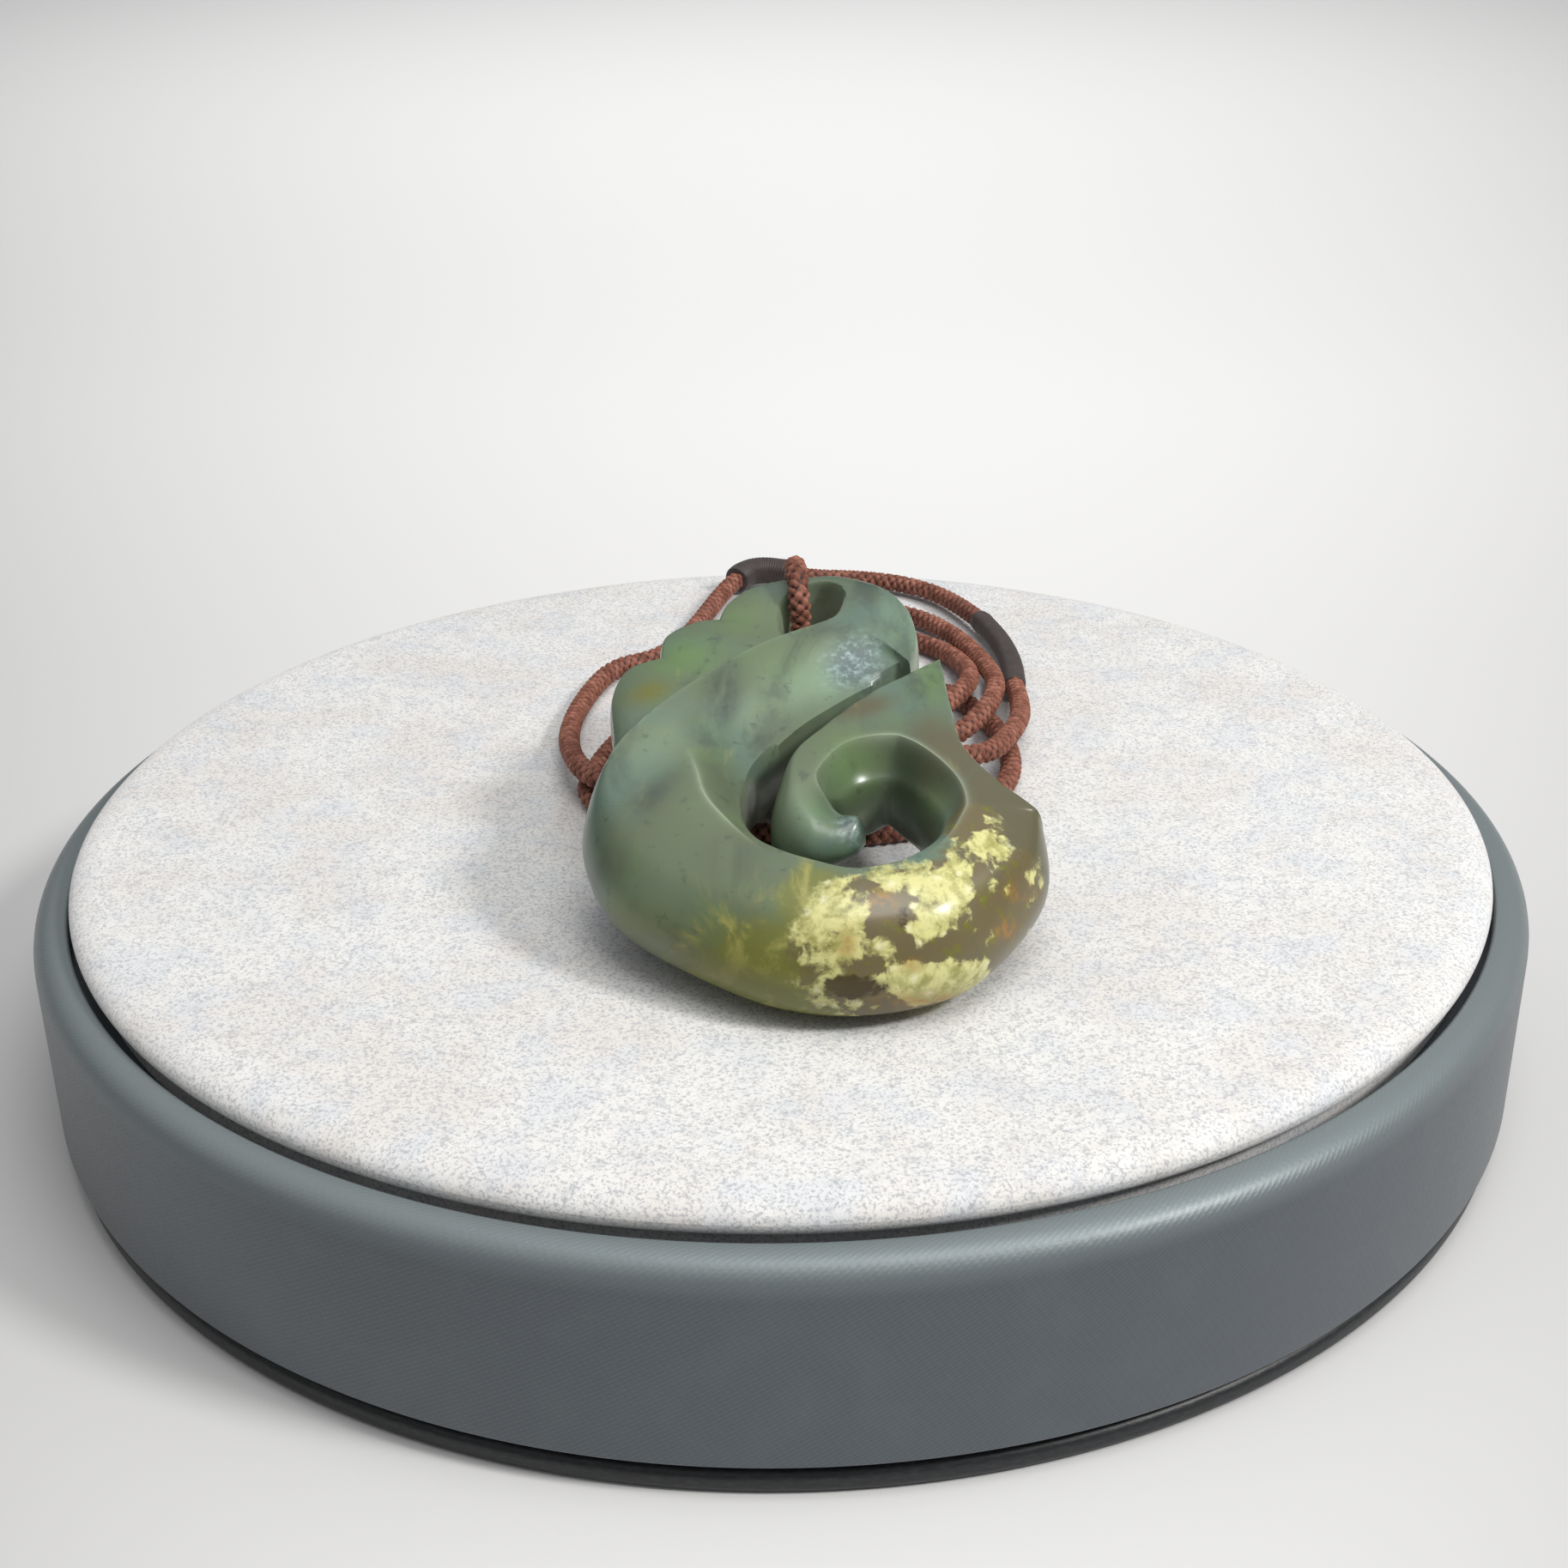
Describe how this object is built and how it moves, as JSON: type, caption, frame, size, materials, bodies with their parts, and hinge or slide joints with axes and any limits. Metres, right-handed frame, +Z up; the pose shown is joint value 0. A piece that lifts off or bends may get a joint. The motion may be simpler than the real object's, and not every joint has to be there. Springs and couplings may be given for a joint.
{
  "type": "manaia pendant on a round display stand",
  "caption": "Carved greenstone manaia pendant with a looped plaited cord, lying on the padded top of a low round display stand.",
  "frame": {"origin": "centre of the stand's underside", "axes": "+Z up, +X to the right and +Y away from the viewer, with the pendant's bottom end towards the viewer"},
  "size_m": [0.135, 0.135, 0.0439],
  "materials": {
    "foot": "black board disc, matt",
    "leatherette": "slate grey leatherette with a fine diagonal grain, satin",
    "pad_suede": "pale grey speckled suede cloth",
    "greenstone": "polished greenstone, clouded green with yellow and brown mottling",
    "cord": "red-brown plaited waxed cord",
    "whipping": "dark brown thread, tightly wound"
  },
  "bodies": {
    "root": {"stand_foot": "foot", "stand_base": "leatherette", "stand_pad": "pad_suede", "pendant": "greenstone", "cord": "cord", "cord_whipping_right": "whipping", "cord_whipping_left": "whipping"}
  },
  "joints": []
}
